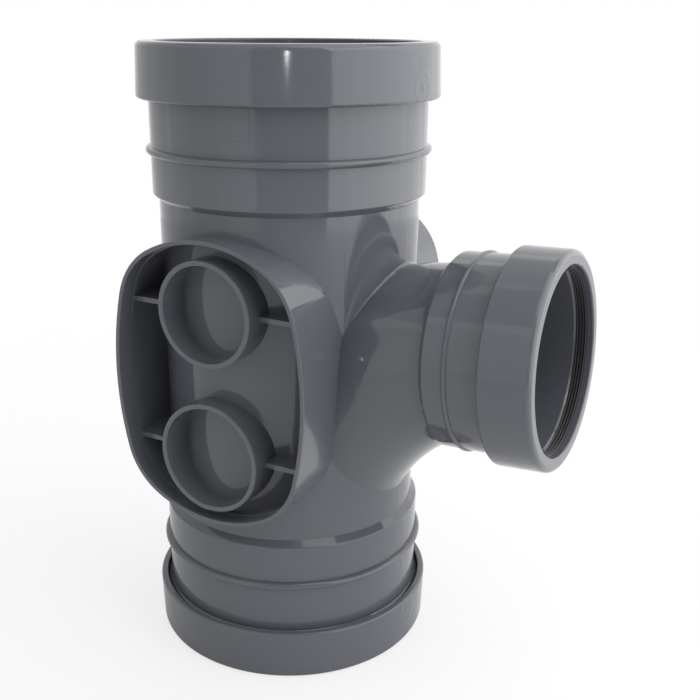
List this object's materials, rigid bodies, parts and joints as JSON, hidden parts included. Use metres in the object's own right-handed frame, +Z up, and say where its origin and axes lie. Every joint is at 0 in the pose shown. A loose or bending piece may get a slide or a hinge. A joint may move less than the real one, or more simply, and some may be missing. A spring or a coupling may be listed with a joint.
{
  "type": "reducing tee",
  "caption": "Grey plastic reducing tee for soil pipe: a tall ring-seal stack, a slightly rising swept smaller branch, and a boss plate with blind bosses on front and back.",
  "frame": {"origin": "on the stack's axis, in the plane of the lower mouth", "axes": "+Z up the stack, +X towards the branch, boss plates on -Y (front) and +Y (rear)"},
  "size_m": [0.2797, 0.1912, 0.386],
  "materials": {
    "grey_moulding": "glossy moulded grey PVC-U",
    "seal_rubber": "matt black rubber"
  },
  "bodies": {
    "root": {"body": "grey_moulding", "upper_retaining_cap": "grey_moulding", "lower_retaining_cap": "grey_moulding", "branch_retaining_cap": "grey_moulding", "upper_seal_ring": "seal_rubber", "lower_seal_ring": "seal_rubber", "branch_seal_ring": "seal_rubber"}
  },
  "joints": []
}
